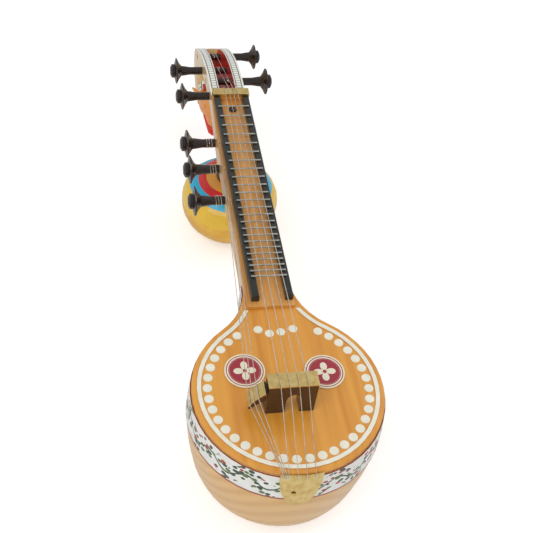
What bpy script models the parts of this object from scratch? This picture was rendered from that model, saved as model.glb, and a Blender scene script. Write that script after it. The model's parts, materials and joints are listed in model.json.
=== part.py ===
"""Showpiece veena, about 18 inches long, rebuilt as separate pieces.

The neck runs along Y with the bowl at -Y and the pegbox at +Y. X points to the
player's right when the strings face up, Z is up, and the veena lies on the
table at Z = 0 on its bowl and its gourd. Lengths are in metres.
"""
import math

import bmesh
import bpy
from mathutils import Matrix, Vector

# Clearances
GAP = 0.0003                    # between glued or resting pieces
PEG_CLEARANCE = 0.00035         # radial, peg in its bore
PIN_CLEARANCE = 0.00035         # radial, screw and nail in their holes

# Bowl and soundboard
BODY_HEIGHT = 0.099             # table to the top of the soundboard
BOWL_RADIUS = 0.058
BOWL_BULGE = 0.0015             # how far the belly stands out past the rim
BOWL_ROUNDNESS = 4.5            # exponent along the depth
BOWL_FULLNESS = 2.4             # exponent across the width
BOWL_WALL = 0.004
BOWL_FLOOR = 0.005
BOWL_FOOT_RADIUS = 0.018
SOUNDBOARD_THICKNESS = 0.0024
SHOULDER_RADIUS = 0.045         # hollow curve from the bowl to the neck
HEEL_DEPTH = 0.0168             # height of the face that the neck is glued to
HEEL_END = 0.062                # depth at which the heel has melted into the bowl

# Neck
NECK_LEFT = 0.0164
NECK_RIGHT = 0.0146
NECK_DEPTH = 0.0185
NECK_CORNER = 0.007
NECK_TAPER_START = 0.215        # from the bowl's centre
NECK_LEFT_AT_NUT = 0.0142
TENON_WIDTH = 0.012
TENON_HEIGHT = 0.008
TENON_LENGTH = 0.012
TENON_DEPTH = 0.005             # below the top of the neck

# Fretboard, rails and frets
BOARD_THICKNESS = 0.0022
BOARD_LOW_END = 0.0615          # from the bowl's centre
RAIL_OUTER = 0.0135
RAIL_WIDTH = 0.005
RAIL_HEIGHT = 0.0047
RAIL_LOW_END = 0.0657
FRET_COUNT = 24
FRET_DIAMETER = 0.0012
FRET_LENGTH = 0.0234
FIRST_FRET = 0.017              # nut's middle to the first fret
FRET_SPACING = 0.01135          # first fret to the second
FRET_RATIO = 0.96               # each space to the one before it

# Nut and pegbox
NUT_POSITION = 0.2718           # bowl's centre to the nut's middle
NUT_LENGTH = 0.0074
NUT_WIDTH = 0.028
NUT_THICKNESS = 0.0029
NUT_TOP = 0.0098                # above the soundboard
PEGBOX_HALF_WIDTH = 0.0138
PEGBOX_TIP_HALF_WIDTH = 0.0105
PEGBOX_STRAIGHT = 0.011         # before the curve starts
PEGBOX_CURVE = 0.160            # radius of the long curve
PEGBOX_CURVE_ANGLE = math.radians(34)
HOOK_CURVE = 0.018              # radius of the tight hook at the far end
HOOK_THICKNESS = 0.017
TROUGH_HALF_WIDTH = 0.0065
TROUGH_DEPTH = 0.015
TROUGH_ANGLE = math.radians(32)
TONGUE_WIDTH = 0.0132
TONGUE_HEIGHT = 0.0088
TONGUE_LENGTH = 0.025
SCREW_POSITION = 0.0145         # nut's middle to the screw
SCREW_HEAD_RADIUS = 0.0031
SCREW_HEAD_HEIGHT = 0.0016
SCREW_RADIUS = 0.0015
SCREW_LENGTH = 0.008

# Dragon head at the end of the pegbox
HEAD_LENGTH = 0.044
HEAD_HALF_WIDTH = 0.0115
HEAD_HALF_HEIGHT = 0.0105

# Pegs
PEG_RADIUS = 0.0027
PEG_STEM_RADIUS = 0.0032
PEG_STEM_LENGTH = 0.0185
PEG_FLANGE_RADIUS = 0.0106
PEG_BUTTON_RADIUS = 0.0056
PEG_BUTTON_LENGTH = 0.0046
TALA_PEG_DEPTH = 0.0082         # axis below the top of the neck
MAIN_PEG_DEPTHS = (0.0082, 0.0095, 0.0105, 0.0065)  # axes below the top of the cheeks
MAIN_PEG_ALONG = (0.0125, 0.035, 0.0595, 0.0925)    # along the pegbox, from its front
MAIN_PEG_SIDES = (-1, 1, -1, 1)
TALA_PEG_POSITIONS = (0.2315, 0.2025, 0.1695)       # from the bowl's centre
TALA_PEG_REACH = 0.013          # how deep a side peg goes into the neck

# Gourd
GOURD_POSITION = 0.2325         # from the bowl's centre
GOURD_RADIUS = 0.0382
GOURD_WIDEST = 0.0315           # height of its widest ring above the table
GOURD_CROWN = 0.0253            # from there to its top
GOURD_WALL = 0.003
GOURD_MOUTH_RADIUS = 0.006
GOURD_SEAT_RADIUS = 0.0125
GOURD_FOOT_RADIUS = 0.008
CUP_TOP_RADIUS = 0.012
CUP_WAIST_RADIUS = 0.007
CUP_STUD_RADIUS = 0.003
CUP_STUD_LENGTH = 0.008
CUP_PLUG_LENGTH = 0.006

# Bridge and its side arm for the drone strings
BRIDGE_POSITION = -0.0122       # bowl's centre to the bridge's middle
BRIDGE_LEFT = -0.0172
BRIDGE_RIGHT = 0.0116
BRIDGE_DEPTH = 0.0095
BRIDGE_HEIGHT = 0.0259          # top of the brass plate above the soundboard
BRIDGE_SLAB = 0.0076
BRIDGE_PLATE_THICKNESS = 0.0007
BRIDGE_PLATE_OVERHANG = 0.0003
BRIDGE_ARCH_LEFT = -0.006
BRIDGE_ARCH_RIGHT = 0.003
ARM_REACH = 0.0102
ARM_TOP = 0.0195
ARM_TIP = 0.0066
ARM_CROWN = 0.0012
ARM_THICKNESS = 0.0065
ARM_TIP_THICKNESS = 0.0009
ARM_PLATE_THICKNESS = 0.0006

# Tailpiece
TAILPIECE_LEFT = -0.0148
TAILPIECE_RIGHT = 0.0102
TAILPIECE_LENGTH = 0.0295
TAILPIECE_RISE = 0.0006
TAILPIECE_THICKNESS = 0.0008
NAIL_X = -0.0057
NAIL_DEPTH = 0.0163
NAIL_RADIUS = 0.0006
NAIL_HEAD_RADIUS = 0.0014
NAIL_HEAD_HEIGHT = 0.0009
NAIL_SEAT = 0.0005              # plate to the head
NAIL_LENGTH = 0.0038

# Inlays and the decorated band
INLAY_THICKNESS = 0.0004
INLAY_INSET = 0.0045            # rim to the middle of the white ring
INLAY_WIDTH = 0.0025
INLAY_END = 0.0605              # from the bowl's centre
ROSETTE_RADIUS = 0.0124
ROSETTE_PLACES = ((-0.0247, 0.0141), (0.0237, 0.0098))
BAND_HEIGHT = 0.022
BAND_DROP = 0.0006              # below the soundboard
BAND_THICKNESS = 0.0004

# Strings
STRING_DIAMETER = 0.00045
MAIN_STRING_COUNT = 4
BRIDGE_STRING_SPACING = 0.00535
BRIDGE_STRING_MIDDLE = -0.0028
NUT_STRING_SPACING = 0.0032
TAIL_STRING_SPACING = 0.0051
TAIL_STRING_MIDDLE = -0.0025
TALA_TAIL_X = (-0.0135, -0.0125, -0.0115)
TALA_ARM_SHARE = (0.78, 0.55, 0.32)     # how far out on the arm each one lies
MAIN_TURNS = 2
MAIN_PITCH = 0.0011
TALA_TURNS = 3
TALA_PITCH = 0.0019
STRING_END = 0.0022             # how far a string hangs over the tailpiece
TALA_PIN_RADIUS = 0.0005
TALA_PIN_HEIGHT = 0.0011
TALA_PIN_INSET = 0.0009
TALA_PIN_AHEAD = 0.0125         # from its peg towards the bridge
TURN_POINTS = 24

# Mesh fineness
RIM_STEPS = 40
SHOULDER_STEPS = 6
BOWL_RINGS = 11

MATERIALS = {
    "bowl_wood": ((0.80, 0.50, 0.20), 0.35, 0.0),
    "soundboard_wood": ((0.88, 0.45, 0.08), 0.30, 0.0),
    "neck_wood": ((0.85, 0.60, 0.28), 0.40, 0.0),
    "fretboard_wood": ((0.80, 0.38, 0.09), 0.35, 0.0),
    "white_inlay": ((0.95, 0.94, 0.82), 0.40, 0.0),
    "paper_band": ((0.92, 0.92, 0.90), 0.55, 0.0),
    "black_wax": ((0.012, 0.014, 0.012), 0.30, 0.0),
    "fret_wire": ((0.62, 0.62, 0.56), 0.30, 1.0),
    "brass": ((0.80, 0.62, 0.24), 0.30, 1.0),
    "dark_wood": ((0.035, 0.014, 0.010), 0.25, 0.0),
    "peg_wood": ((0.022, 0.012, 0.010), 0.25, 0.0),
    "dragon_paint": ((0.85, 0.28, 0.08), 0.35, 0.0),
    "gourd_paint": ((0.92, 0.58, 0.06), 0.40, 0.0),
    "string_steel": ((0.75, 0.74, 0.70), 0.25, 1.0),
    "screw_steel": ((0.05, 0.045, 0.04), 0.40, 1.0),
}


# Places that several pieces share. Distances along the neck are measured from
# the bowl's centre; along() and above() turn them into places in the part.
def superellipse(share, power_in, power_out):
    return max(0.0, 1.0 - share ** power_in) ** (1.0 / power_out)


def bowl_depth():
    return BODY_HEIGHT - SOUNDBOARD_THICKNESS - GAP


def belly(depth):
    """Half width of the round bowl at a depth below its rim."""
    share = min(1.0, depth / bowl_depth())
    swell = BOWL_BULGE * math.sin(math.pi * min(1.0, 2.0 * share))
    return (BOWL_RADIUS + swell) * superellipse(share, BOWL_ROUNDNESS, BOWL_FULLNESS)


def shoulder_centre(half_width):
    across = half_width + SHOULDER_RADIUS
    return across, math.sqrt((BOWL_RADIUS + SHOULDER_RADIUS) ** 2 - across ** 2)


JOINT = max(shoulder_centre(NECK_LEFT)[1], shoulder_centre(NECK_RIGHT)[1]) + 0.0005
BAND_OUT = GAP + BAND_THICKNESS
NAIL_PLATE = (belly(NAIL_DEPTH - SOUNDBOARD_THICKNESS - GAP) + BAND_OUT + GAP
              + TAILPIECE_THICKNESS)
NECK_END = NUT_POSITION + NUT_LENGTH / 2
PEGBOX_FRONT = NECK_END + GAP
HOOK_OUTER = HOOK_CURVE + HOOK_THICKNESS / 2
TAIL_REACH = math.sqrt(NAIL_PLATE ** 2 - NAIL_X ** 2) + NAIL_SEAT + NAIL_HEAD_HEIGHT
HEAD_REACH = (PEGBOX_FRONT + PEGBOX_STRAIGHT
              + (PEGBOX_CURVE - HOOK_CURVE) * math.sin(PEGBOX_CURVE_ANGLE) + HOOK_OUTER)
BOWL_Y = (TAIL_REACH - HEAD_REACH) / 2
BOARD_BOTTOM = GAP
BOARD_TOP = BOARD_BOTTOM + BOARD_THICKNESS
RAIL_TOP = BOARD_TOP + GAP + RAIL_HEIGHT
STRING_RADIUS = STRING_DIAMETER / 2
STRING_CLEAR = STRING_RADIUS + GAP


def along(distance):
    return BOWL_Y + distance


def above(height):
    return BODY_HEIGHT + height


# Scene and mesh helpers
def clear_scene():
    for obj in list(bpy.data.objects):
        bpy.data.objects.remove(obj, do_unlink=True)


def make_material(name):
    if name in bpy.data.materials:
        return bpy.data.materials[name]
    colour, roughness, metallic = MATERIALS[name]
    material = bpy.data.materials.new(name)
    material.use_nodes = True
    shader = material.node_tree.nodes["Principled BSDF"]
    shader.inputs["Base Color"].default_value = (*colour, 1.0)
    shader.inputs["Roughness"].default_value = roughness
    shader.inputs["Metallic"].default_value = metallic
    return material


def add_object(name, bm, material, place=(0, 0, 0), parent=None, smooth=35):
    bmesh.ops.recalc_face_normals(bm, faces=bm.faces)
    mesh = bpy.data.meshes.new(name)
    bm.to_mesh(mesh)
    bm.free()
    obj = bpy.data.objects.new(name, mesh)
    bpy.context.collection.objects.link(obj)
    obj.location = place
    obj.parent = parent
    if material:
        mesh.materials.append(make_material(material))
    if smooth:
        mesh.shade_smooth()
        mesh.set_sharp_from_angle(angle=math.radians(smooth))
    return obj


def add_pivot(name, place):
    pivot = bpy.data.objects.new(name, None)
    pivot.empty_display_size = 0.01
    pivot.location = place
    bpy.context.collection.objects.link(pivot)
    return pivot


def add_cutter(name, bm, place=(0, 0, 0)):
    cutter = add_object(name, bm, None, place, smooth=None)
    cutter.hide_render = True
    cutter.display_type = "WIRE"
    return cutter


def combine(obj, tool, operation):
    step = obj.modifiers.new(tool.name, "BOOLEAN")
    step.operation = operation
    step.solver = "EXACT"
    step.object = tool
    return step


def prism(points, low, high):
    """An outline in X and Y, raised from low to high in Z."""
    bm = bmesh.new()
    face = bm.faces.new([bm.verts.new((x, y, low)) for x, y in points])
    raised = bmesh.ops.extrude_face_region(bm, geom=[face])
    moved = [v for v in raised["geom"] if isinstance(v, bmesh.types.BMVert)]
    bmesh.ops.translate(bm, verts=moved, vec=(0, 0, high - low))
    return bm


def box(x, y, z):
    """A box from its lowest and highest X, Y and Z."""
    return prism([(x[0], y[0]), (x[1], y[0]), (x[1], y[1]), (x[0], y[1])], z[0], z[1])


def turn(bm, axis, target):
    """Turns a shape so that its own axis points along the target."""
    rotation = Vector(axis).rotation_difference(Vector(target)).to_matrix().to_4x4()
    bmesh.ops.transform(bm, matrix=rotation, verts=bm.verts)
    return bm


def lathe(profile, segments):
    """A profile of (radius, height) pairs, from pole to pole, spun about Z."""
    bm = bmesh.new()
    verts = [bm.verts.new((radius, 0, height)) for radius, height in profile]
    edges = [bm.edges.new(pair) for pair in zip(verts, verts[1:])]
    bmesh.ops.spin(bm, geom=verts + edges, cent=(0, 0, 0), axis=(0, 0, 1),
                   angle=math.tau, steps=segments, use_merge=True)
    bmesh.ops.remove_doubles(bm, verts=bm.verts, dist=1e-6)
    return bm


def rod(radius, length, segments):
    return lathe([(0, 0), (radius, 0), (radius, length), (0, length)], segments)


def loft(rings):
    """Joins rings of equally many points and closes both ends."""
    bm = bmesh.new()
    loops = [[bm.verts.new(point) for point in ring] for ring in rings]
    count = len(loops[0])
    for low, high in zip(loops, loops[1:]):
        for i in range(count):
            j = (i + 1) % count
            bm.faces.new((low[i], low[j], high[j], high[i]))
    bm.faces.new(loops[0])
    bm.faces.new(loops[-1])
    return bm


def bevel_edges(bm, width, segments, chosen):
    edges = [edge for edge in bm.edges if chosen(edge)]
    bmesh.ops.bevel(bm, geom=edges, offset=width, segments=segments, profile=0.5,
                    affect="EDGES", material=-1)
    return bm


def top_edge(height):
    return lambda edge: all(abs(v.co.z - height) < 1e-6 for v in edge.verts)


# Bowl, soundboard and what is laid on them
def half_outline(side, inset=0.0, end=None):
    """One half of the body's edge, from the tail round to the neck."""
    half_width = NECK_LEFT if side < 0 else NECK_RIGHT
    across, up = shoulder_centre(half_width)
    meeting = math.atan2(up, across)
    steps = RIM_STEPS // 2
    points = []
    for i in range(steps + 1):
        angle = -math.pi / 2 + (meeting + math.pi / 2) * i / steps
        radius = BOWL_RADIUS - inset
        points.append((side * radius * math.cos(angle), radius * math.sin(angle)))
    hollow = SHOULDER_RADIUS + inset
    last = math.asin((up - end) / hollow) if end is not None else 0.0
    for i in range(1, SHOULDER_STEPS + 1):
        angle = meeting + (last - meeting) * i / SHOULDER_STEPS
        points.append((side * (across - hollow * math.cos(angle)), up - hollow * math.sin(angle)))
    if end is None:
        points.append((side * (half_width), JOINT))
    return points


def body_outline():
    right = half_outline(1)
    left = half_outline(-1)
    return right + left[:0:-1]


def at_depth(point, depth):
    """Where a point of the rim lies on the bowl's outside at a depth."""
    x, y = point
    reach = math.hypot(x, y)
    round_x, round_y = x / reach * BOWL_RADIUS, y / reach * BOWL_RADIUS
    fade = min(1.0, max(0.0, (depth - HEEL_DEPTH) / (HEEL_END - HEEL_DEPTH)))
    stay = 1.0 - fade * fade * (3.0 - 2.0 * fade)
    size = belly(depth) / BOWL_RADIUS
    out_x = size * round_x + stay * (x - round_x)
    out_y = size * round_y + stay * (y - round_y)
    return out_x, min(out_y, JOINT)


def make_bowl():
    depth = bowl_depth()
    rim = above(-SOUNDBOARD_THICKNESS - GAP)
    outline = body_outline()
    levels = [HEEL_DEPTH * 0.5, HEEL_DEPTH]
    for i in range(1, BOWL_RINGS - 1):
        share = 1.0 - (1.0 - i / (BOWL_RINGS - 1)) ** 1.6
        levels.append(HEEL_DEPTH + (depth - HEEL_DEPTH) * share)
    rings = [[(x, along(y), rim) for x, y in outline]]
    for level in levels:
        ring = [at_depth(point, level) for point in outline]
        rings.append([(x, along(y), rim - level) for x, y in ring])
    foot = [Vector(point).normalized() * BOWL_FOOT_RADIUS for point in outline]
    rings.append([(p.x, along(p.y), 0.0) for p in foot])
    bowl = add_object("bowl", loft(rings), "bowl_wood")

    inner_depth = depth - BOWL_FLOOR
    profile = [(0, rim + 0.01), (BOWL_RADIUS - BOWL_WALL, rim + 0.01)]
    for i in range(BOWL_RINGS):
        share = 1.0 - (1.0 - i / BOWL_RINGS) ** 1.6
        scale = inner_depth / depth
        profile.append((belly(share * depth) - BOWL_WALL, rim - share * depth * scale))
    profile.append((0, rim - inner_depth))
    cavity = add_cutter("bowl_cavity", lathe(profile, 36), (0, along(0), 0))
    combine(bowl, cavity, "DIFFERENCE")

    half = TENON_WIDTH / 2 + GAP
    top = above(-TENON_DEPTH + GAP)
    mortise = box((-half, half), (along(JOINT - TENON_LENGTH - GAP), along(JOINT + 0.005)),
                  (top - TENON_HEIGHT - 2 * GAP, top))
    combine(bowl, add_cutter("bowl_mortise", mortise), "DIFFERENCE")
    return bowl


def make_soundboard():
    top = above(0)
    points = [(x, along(y)) for x, y in body_outline()]
    bm = prism(points, top - SOUNDBOARD_THICKNESS, top)
    bevel_edges(bm, 0.0006, 1, top_edge(top))
    return add_object("soundboard", bm, "soundboard_wood")


def make_edge_inlay():
    inner = INLAY_INSET + INLAY_WIDTH / 2
    outer = INLAY_INSET - INLAY_WIDTH / 2
    def whole(inset):
        right = half_outline(1, inset, INLAY_END)
        left = half_outline(-1, inset, INLAY_END)
        return right[::-1] + left[1:]
    points = whole(outer) + whole(inner)[::-1]
    low = above(GAP)
    bm = prism([(x, along(y)) for x, y in points], low, low + INLAY_THICKNESS)
    return add_object("edge_inlay", bm, "white_inlay", smooth=None)


def make_rosettes():
    for name, (x, y) in zip(("rosette_left", "rosette_right"), ROSETTE_PLACES):
        bm = rod(ROSETTE_RADIUS, INLAY_THICKNESS, 32)
        add_object(name, bm, "white_inlay", (x, along(y), above(GAP)))


def outward(points, i):
    before = Vector(points[max(i - 1, 0)])
    after = Vector(points[min(i + 1, len(points) - 1)])
    run = (after - before).normalized()
    return Vector((-run.y, run.x))


def make_side_band():
    """The paper band that wraps the upper side of the bowl."""
    right = half_outline(1)
    left = half_outline(-1)
    path = right[::-1] + left[1:]
    top = above(-SOUNDBOARD_THICKNESS - GAP)
    rows = 4
    rings = []
    for i, point in enumerate(path):
        normal = outward(path, i)
        ring = []
        for out, order in ((GAP, range(rows)), (BAND_OUT, range(rows - 1, -1, -1))):
            for row in order:
                depth = BAND_DROP + (BAND_HEIGHT - BAND_DROP) * row / (rows - 1)
                base = Vector(at_depth(point, depth))
                place = base + normal * out
                y = min(place.y, JOINT)
                ring.append((place.x, along(y), top - depth))
        rings.append(ring)
    return add_object("side_band", loft(rings), "paper_band")


# Neck, fretboard, rails and frets
def neck_section(left, right, depth, corner, steps=4):
    """Flat on top, straight sides and rounded lower corners, seen from -Y."""
    points = [(-left, 0.0), (right, 0.0)]
    for i in range(steps + 1):
        angle = math.pi / 2 * i / steps
        points.append((right - corner + corner * math.cos(angle),
                       -depth + corner - corner * math.sin(angle)))
    for i in range(steps + 1):
        angle = math.pi / 2 * i / steps
        points.append((-left + corner - corner * math.sin(angle),
                       -depth + corner - corner * math.cos(angle)))
    return points


def make_neck():
    stations = ((JOINT + GAP, NECK_LEFT), (NECK_TAPER_START, NECK_LEFT), (NECK_END, NECK_LEFT_AT_NUT))
    rings = []
    for distance, left in stations:
        section = neck_section(left, NECK_RIGHT, NECK_DEPTH, NECK_CORNER)
        rings.append([(x, along(distance), above(z)) for x, z in section])
    neck = add_object("neck", loft(rings), "neck_wood")

    half = TENON_WIDTH / 2
    top = above(-TENON_DEPTH)
    tenon = box((-half, half), (along(JOINT - TENON_LENGTH), along(JOINT + 0.004)),
                (top - TENON_HEIGHT, top))
    combine(neck, add_cutter("neck_tenon", tenon), "UNION")

    half = TONGUE_WIDTH / 2 + GAP
    slot = box((-half, half), (along(NECK_END - TONGUE_LENGTH - GAP), along(NECK_END + 0.004)),
               (above(-TONGUE_HEIGHT - 2 * GAP), above(0.004)))
    combine(neck, add_cutter("neck_slot", slot), "DIFFERENCE")

    stud = rod(CUP_STUD_RADIUS + PIN_CLEARANCE, CUP_STUD_LENGTH + GAP + 0.002, 12)
    place = (0, along(GOURD_POSITION), above(-NECK_DEPTH - 0.002))
    combine(neck, add_cutter("neck_stud_hole", stud, place), "DIFFERENCE")

    for i, distance in enumerate(TALA_PEG_POSITIONS):
        reach = TALA_PEG_REACH + GAP
        bore = turn(rod(PEG_RADIUS + PEG_CLEARANCE, reach + 0.004, 16), (0, 0, 1), (1, 0, 0))
        place = (-NECK_LEFT - 0.004, along(distance), above(-TALA_PEG_DEPTH))
        combine(neck, add_cutter(f"neck_bore_{i + 1}", bore, place), "DIFFERENCE")
    return neck


def neck_left_at(distance):
    """The neck narrows on its left towards the nut."""
    share = (distance - NECK_TAPER_START) / (NECK_END - NECK_TAPER_START)
    share = min(1.0, max(0.0, share))
    return NECK_LEFT + (NECK_LEFT_AT_NUT - NECK_LEFT) * share


def make_fretboard():
    points = [(-NECK_LEFT, BOARD_LOW_END), (NECK_RIGHT, BOARD_LOW_END), (NECK_RIGHT, NECK_END),
              (-NECK_LEFT_AT_NUT, NECK_END), (-NECK_LEFT, NECK_TAPER_START)]
    bm = prism([(x, along(y)) for x, y in points], above(BOARD_BOTTOM), above(BOARD_TOP))
    board = add_object("fretboard", bm, "fretboard_wood", smooth=None)

    half = NUT_WIDTH / 2
    block = box((-half, half), (along(NUT_POSITION - NUT_LENGTH / 2), along(NECK_END - 0.0001)),
                (above(BOARD_TOP - 0.001), above(NUT_TOP - NUT_THICKNESS - GAP)))
    combine(board, add_cutter("board_nut_block", block), "UNION")

    for i, distance in enumerate(TALA_PEG_POSITIONS):
        pin = rod(TALA_PIN_RADIUS, TALA_PIN_HEIGHT + 0.001, 8)
        y = distance - TALA_PIN_AHEAD
        place = (TALA_PIN_INSET - neck_left_at(y), along(y), above(BOARD_TOP - 0.001))
        combine(board, add_cutter(f"board_pin_{i + 1}", pin, place), "UNION")

    hole = rod(SCREW_RADIUS + PIN_CLEARANCE, BOARD_THICKNESS + 0.004, 12)
    place = (0, along(NUT_POSITION - SCREW_POSITION), above(BOARD_BOTTOM - 0.002))
    combine(board, add_cutter("board_screw_hole", hole, place), "DIFFERENCE")
    return board


def make_rails():
    low, high = above(BOARD_TOP + GAP), above(RAIL_TOP)
    y = (along(RAIL_LOW_END), along(NUT_POSITION - NUT_LENGTH / 2 - GAP))
    for name, side in (("rail_left", -1), ("rail_right", 1)):
        edges = sorted((side * RAIL_OUTER, side * (RAIL_OUTER - RAIL_WIDTH)))
        bm = box(edges, y, (low, high))
        bevel_edges(bm, 0.0007, 2, top_edge(high))
        add_object(name, bm, "black_wax")


def fret_distance(number):
    """Bowl's centre to a fret; the spaces shrink by one ratio."""
    run = FRET_SPACING * (1.0 - FRET_RATIO ** number) / (1.0 - FRET_RATIO)
    return NUT_POSITION - FIRST_FRET - run


def make_frets():
    height = above(RAIL_TOP + GAP + FRET_DIAMETER / 2)
    for number in range(FRET_COUNT):
        bm = turn(rod(FRET_DIAMETER / 2, FRET_LENGTH, 8), (0, 0, 1), (1, 0, 0))
        place = (-FRET_LENGTH / 2, along(fret_distance(number)), height)
        add_object(f"fret_{number + 1:02d}", bm, "fret_wire", place)


# Nut, pegbox and head
def make_nut():
    half = NUT_WIDTH / 2
    middle = along(NUT_POSITION)
    top = above(NUT_TOP)
    bm = box((-half, half), (middle - NUT_LENGTH / 2, middle + NUT_LENGTH / 2 - 0.0001),
             (top - NUT_THICKNESS, top))
    bevel_edges(bm, 0.0006, 2, top_edge(top))
    return add_object("nut", bm, "brass")


def spine(distance):
    """Place and heading of the pegbox's middle line, from its front face."""
    y, z = PEGBOX_FRONT, -NECK_DEPTH / 2
    if distance <= PEGBOX_STRAIGHT:
        return y + distance, z, 0.0
    y += PEGBOX_STRAIGHT
    angle = (distance - PEGBOX_STRAIGHT) / PEGBOX_CURVE
    first = min(angle, PEGBOX_CURVE_ANGLE)
    y += PEGBOX_CURVE * math.sin(first)
    z -= PEGBOX_CURVE * (1.0 - math.cos(first))
    if angle <= PEGBOX_CURVE_ANGLE:
        return y, z, first
    rest = distance - PEGBOX_STRAIGHT - PEGBOX_CURVE * PEGBOX_CURVE_ANGLE
    heading = PEGBOX_CURVE_ANGLE + rest / HOOK_CURVE
    y += HOOK_CURVE * (math.sin(heading) - math.sin(PEGBOX_CURVE_ANGLE))
    z -= HOOK_CURVE * (math.cos(PEGBOX_CURVE_ANGLE) - math.cos(heading))
    return y, z, heading


CURVE_LENGTH = PEGBOX_STRAIGHT + PEGBOX_CURVE * PEGBOX_CURVE_ANGLE
SPINE_LENGTH = CURVE_LENGTH + HOOK_CURVE * (math.pi - PEGBOX_CURVE_ANGLE)


def on_spine(distance, x, up):
    """A point beside the spine: up is square to it, towards the open side."""
    y, z, heading = spine(distance)
    return (x, along(y + up * math.sin(heading)), above(z + up * math.cos(heading)))


def pegbox_section(distance):
    """Half width and height of the pegbox at a distance from its front."""
    share = max(0.0, (distance - CURVE_LENGTH) / (SPINE_LENGTH - CURVE_LENGTH))
    half = PEGBOX_HALF_WIDTH + (PEGBOX_TIP_HALF_WIDTH - PEGBOX_HALF_WIDTH) * share
    return half, NECK_DEPTH + (HOOK_THICKNESS - NECK_DEPTH) * min(1.0, 2.0 * share)


def make_pegbox():
    steps = 8
    marks = [0.0, PEGBOX_STRAIGHT]
    marks += [PEGBOX_STRAIGHT + (CURVE_LENGTH - PEGBOX_STRAIGHT) * i / steps for i in range(1, steps + 1)]
    marks += [CURVE_LENGTH + (SPINE_LENGTH - CURVE_LENGTH) * i / 9 for i in range(1, 10)]
    rings = []
    for mark in marks:
        half, height = pegbox_section(mark)
        section = neck_section(half, half, height, NECK_CORNER * 0.85, 3)
        rings.append([on_spine(mark, x, z + height / 2) for x, z in section])
    pegbox = add_object("pegbox", loft(rings), "neck_wood")

    half = TONGUE_WIDTH / 2
    tongue = box((-half, half), (along(NECK_END - TONGUE_LENGTH), along(PEGBOX_FRONT + 0.004)),
                 (above(-TONGUE_HEIGHT - GAP), above(-0.00005)))
    combine(pegbox, add_cutter("pegbox_tongue", tongue), "UNION")

    trough_end = PEGBOX_STRAIGHT + PEGBOX_CURVE * TROUGH_ANGLE
    narrowing = 0.018
    cuts = [0.003] + [PEGBOX_STRAIGHT + (trough_end - narrowing - PEGBOX_STRAIGHT) * i / 6 for i in range(7)]
    rings = []
    for mark in cuts:
        rings.append((mark, TROUGH_HALF_WIDTH, TROUGH_DEPTH))
    for i in range(1, 5):
        turn_angle = math.pi / 2 * i / 4.4
        rings.append((trough_end - narrowing + narrowing * math.sin(turn_angle),
                      TROUGH_HALF_WIDTH * math.cos(turn_angle), TROUGH_DEPTH * (1.0 - 0.12 * i)))
    top = NECK_DEPTH / 2
    shapes = []
    for mark, width, depth in rings:
        shapes.append([on_spine(mark, -width, top + 0.004), on_spine(mark, width, top + 0.004),
                       on_spine(mark, width, top - depth), on_spine(mark, -width, top - depth)])
    combine(pegbox, add_cutter("pegbox_trough", loft(shapes)), "DIFFERENCE")

    for i, (distance, side) in enumerate(zip(MAIN_PEG_ALONG, MAIN_PEG_SIDES)):
        x, y, z = main_peg_axis(i)
        length = 2 * PEGBOX_HALF_WIDTH + 0.008
        bore = turn(rod(PEG_RADIUS + PEG_CLEARANCE, length, 16), (0, 0, 1), (1, 0, 0))
        place = (-length / 2, y, z)
        combine(pegbox, add_cutter(f"pegbox_bore_{i + 1}", bore, place), "DIFFERENCE")

    hole = rod(SCREW_RADIUS + PIN_CLEARANCE, SCREW_LENGTH + 0.002, 12)
    low = BOARD_TOP + GAP - SCREW_LENGTH - GAP
    place = (0, along(NUT_POSITION - SCREW_POSITION), above(low))
    combine(pegbox, add_cutter("pegbox_screw_hole", hole, place), "DIFFERENCE")
    return pegbox


def ellipse_ring(centre, across, upward, count=14):
    ring = []
    for i in range(count):
        angle = math.tau * i / count
        ring.append(tuple(centre + across * math.cos(angle) + upward * math.sin(angle)))
    return ring


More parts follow.
